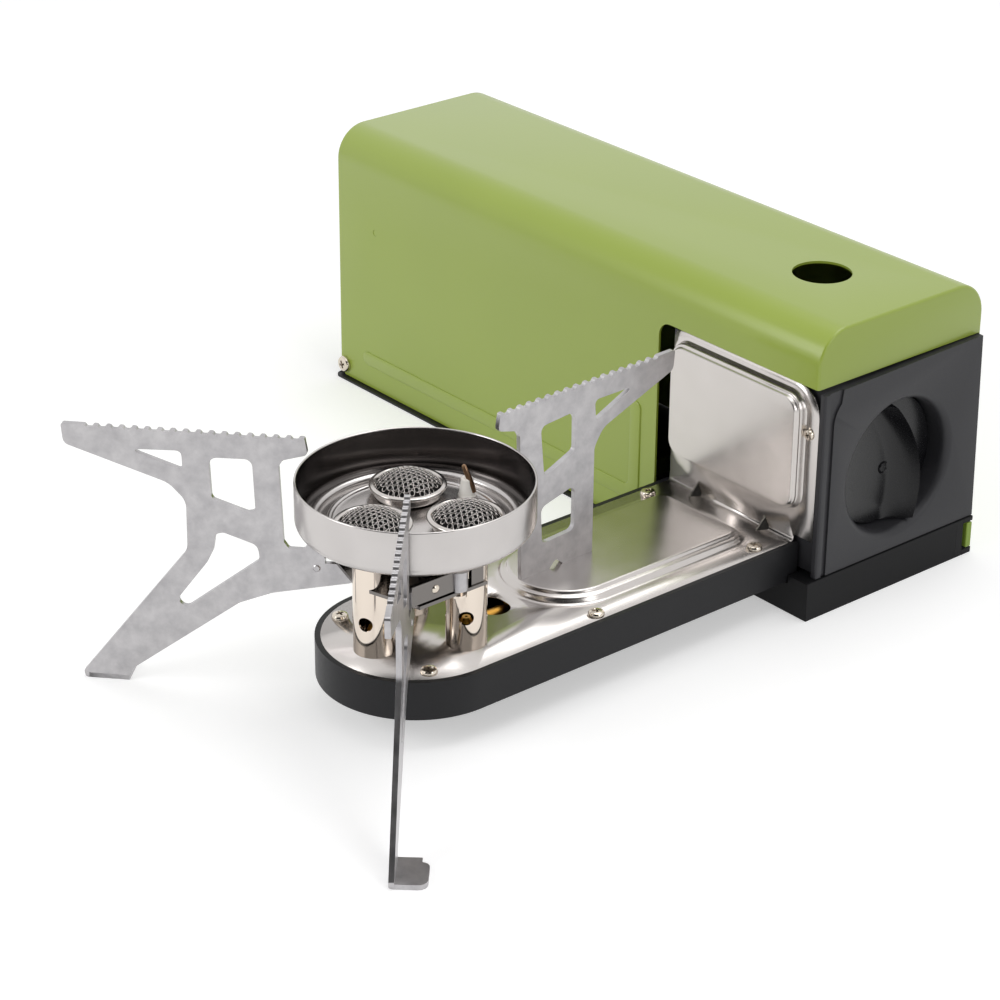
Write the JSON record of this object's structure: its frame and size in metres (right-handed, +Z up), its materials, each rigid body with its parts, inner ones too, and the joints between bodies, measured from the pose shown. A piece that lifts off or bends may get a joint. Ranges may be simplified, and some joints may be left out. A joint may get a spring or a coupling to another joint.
{
  "type": "folding gas stove",
  "caption": "Folding gas stove with a green hinged case, a steel swing arm, a wind bowl over three burner heads and three toothed pot supports.",
  "frame": {"origin": "centre of the base underside, on the surface that the stove stands on", "axes": "+X along the case towards the knob end, -Y towards the burner arm, +Z up"},
  "size_m": [0.3204, 0.3054, 0.1075],
  "materials": {
    "green_paint": "satin",
    "green_plastic": "satin",
    "black_plastic": "fine matte",
    "knob_plastic": "satin",
    "dark_steel": "satin",
    "bare_steel": "brushed",
    "bright_steel": "bright",
    "cast_zinc": "as cast",
    "brass": "satin",
    "ceramic": "glazed",
    "white_plastic": "satin"
  },
  "bodies": {
    "base": {"base_plate": "dark_steel", "base_block": "black_plastic", "cartridge_saddles": "bare_steel", "lid_pivot_screws": "bright_steel", "swing_spindle": "bright_steel"},
    "lid": {"lid_shell": "green_paint"},
    "tab": {"release_tab": "green_plastic"},
    "turret": {"turret_housing": "black_plastic", "valve_body": "cast_zinc", "cartridge_socket": "cast_zinc", "piezo_igniter": "white_plastic", "arm_plate": "bare_steel", "arm_tray": "black_plastic", "plate_screws": "bright_steel", "shield_screw": "bright_steel", "gas_pipe": "brass", "gas_manifold": "brass", "mixing_tube_front": "bright_steel", "mixing_tube_right": "bright_steel", "mixing_tube_left": "bright_steel", "gas_jets": "brass", "burner_bracket": "bare_steel", "wind_bowl": "bare_steel", "bowl_liner": "bare_steel", "burner_head_front": "bright_steel", "burner_head_right": "bright_steel", "burner_head_left": "bright_steel", "igniter_insulator": "ceramic", "igniter_pin": "brass", "hinge_pins": "bright_steel", "pot_support_rear": "bare_steel"},
    "knob": {"control_knob": "knob_plastic", "valve_stem": "bright_steel"},
    "support_left": {"pot_support_left": "bare_steel"},
    "support_right": {"pot_support_right": "bare_steel"}
  },
  "joints": [
    {"name": "arm_swing", "type": "hinge", "parent": "base", "child": "turret", "pos_m": [0.09325, 0, 0.015], "axis": [0, 0, -1], "range_deg": [0, 60]},
    {"name": "lid_open", "type": "hinge", "parent": "base", "child": "lid", "pos_m": [-0.13235, 0, 0.0062], "axis": [0, -1, 0], "range_deg": [0, 90]},
    {"name": "left_support_fold", "type": "hinge", "parent": "turret", "child": "support_left", "pos_m": [0.07105, -0.183, 0.0499], "axis": [0.0142, 0.0319, -0.9994], "range_deg": [0, 132]},
    {"name": "right_support_fold", "type": "hinge", "parent": "turret", "child": "support_right", "pos_m": [0.11545, -0.183, 0.0499], "axis": [0.0142, -0.0319, 0.9994], "range_deg": [0, 132]},
    {"name": "knob_turn", "type": "hinge", "parent": "turret", "child": "knob", "pos_m": [0.12505, 0, 0.047], "axis": [1, 0, 0], "range_deg": [0, 160]},
    {"name": "tab_press", "type": "slide", "parent": "base", "child": "tab", "axis": [0, -1, 0], "range_m": [0, 0.0015], "stiffness_N_per_m": 300, "springref_m": -0.002}
  ],
  "couplings": [
    {"joint": "lid_open", "follows": "arm_swing", "ratio": 1.5}
  ]
}
